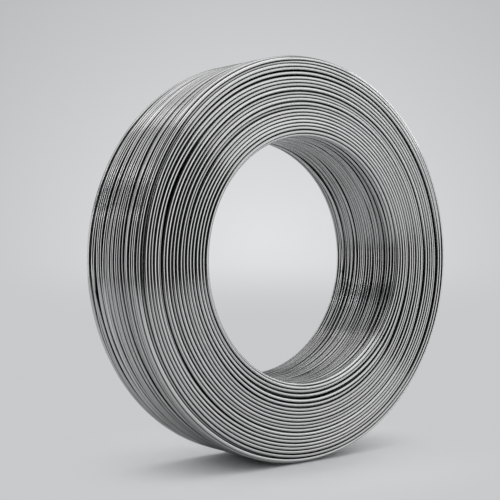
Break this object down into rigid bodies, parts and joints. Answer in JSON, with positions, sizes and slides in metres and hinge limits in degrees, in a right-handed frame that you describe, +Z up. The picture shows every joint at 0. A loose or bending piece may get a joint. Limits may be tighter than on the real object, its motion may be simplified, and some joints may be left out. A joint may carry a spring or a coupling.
{
  "type": "coil of wire rod",
  "caption": "Coil of round steel wire rod wound tightly in layers, with an open bore, standing upright on its rim.",
  "frame": {"origin": "under the middle of the coil, on the floor it stands on", "axes": "+Y along the coil's level axis, +Z up, +X across the coil"},
  "size_m": [0.664, 0.158, 0.664],
  "materials": {
    "bright_steel": "clean drawn steel, bright and slightly satin"
  },
  "bodies": {
    "root": {"rod_coil": "bright_steel"}
  },
  "joints": []
}
